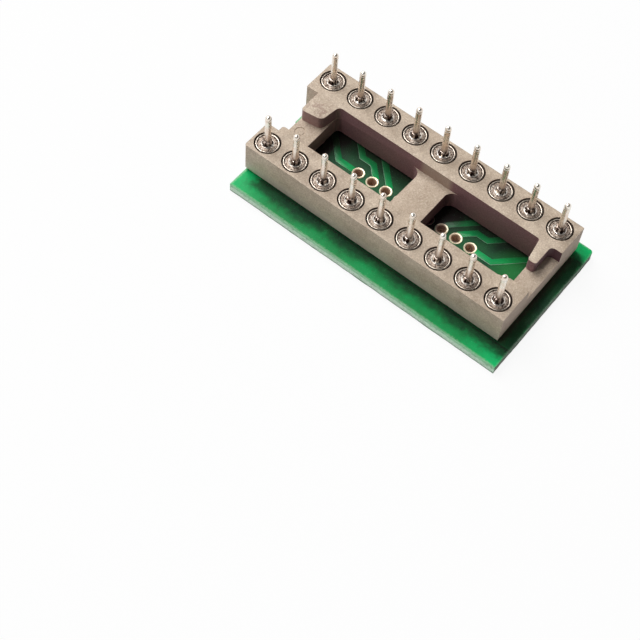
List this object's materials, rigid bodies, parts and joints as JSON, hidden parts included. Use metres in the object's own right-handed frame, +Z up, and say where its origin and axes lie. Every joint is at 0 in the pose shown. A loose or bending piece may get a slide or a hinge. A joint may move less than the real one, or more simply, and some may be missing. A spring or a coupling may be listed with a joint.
{
  "type": "ic programming adapter",
  "caption": "Small board with a surface-mount chip land pattern below and a dual-in-line header of turned pins above, for putting a chip in a programmer's socket.",
  "frame": {"origin": "centre of the bounding box in plan, at the land pads that the adapter lies on", "axes": "+X along the pin rows away from the notched pin 1 end, +Y towards the row of pins 1 to 9, +Z up along the pins"},
  "size_m": [0.0238, 0.0126, 0.0067],
  "materials": {
    "header_plastic": "moulded, satin",
    "board_laminate": "green solder mask",
    "tinned_copper": "plated, satin",
    "plated_pin": "turned and plated",
    "solder": "bright"
  },
  "bodies": {
    "root": {"header_body": "header_plastic", "board": "board_laminate", "conductor_01": "tinned_copper", "conductor_02": "tinned_copper", "conductor_03": "tinned_copper", "conductor_04": "tinned_copper", "conductor_05": "tinned_copper", "conductor_06": "tinned_copper", "conductor_07": "tinned_copper", "conductor_08": "tinned_copper", "conductor_09": "tinned_copper", "conductor_10": "tinned_copper", "conductor_11": "tinned_copper", "conductor_12": "tinned_copper", "conductor_13": "tinned_copper", "conductor_14": "tinned_copper", "conductor_15": "tinned_copper", "conductor_16": "tinned_copper", "conductor_17": "tinned_copper", "conductor_18": "tinned_copper", "pin_01": "plated_pin", "pin_02": "plated_pin", "pin_03": "plated_pin", "pin_04": "plated_pin", "pin_05": "plated_pin", "pin_06": "plated_pin", "pin_07": "plated_pin", "pin_08": "plated_pin", "pin_09": "plated_pin", "pin_10": "plated_pin", "pin_11": "plated_pin", "pin_12": "plated_pin", "pin_13": "plated_pin", "pin_14": "plated_pin", "pin_15": "plated_pin", "pin_16": "plated_pin", "pin_17": "plated_pin", "pin_18": "plated_pin", "solder_joint_01": "solder", "solder_joint_02": "solder", "solder_joint_03": "solder", "solder_joint_04": "solder", "solder_joint_05": "solder", "solder_joint_06": "solder", "solder_joint_07": "solder", "solder_joint_08": "solder", "solder_joint_09": "solder", "solder_joint_10": "solder", "solder_joint_11": "solder", "solder_joint_12": "solder", "solder_joint_13": "solder", "solder_joint_14": "solder", "solder_joint_15": "solder", "solder_joint_16": "solder", "solder_joint_17": "solder", "solder_joint_18": "solder"}
  },
  "joints": []
}
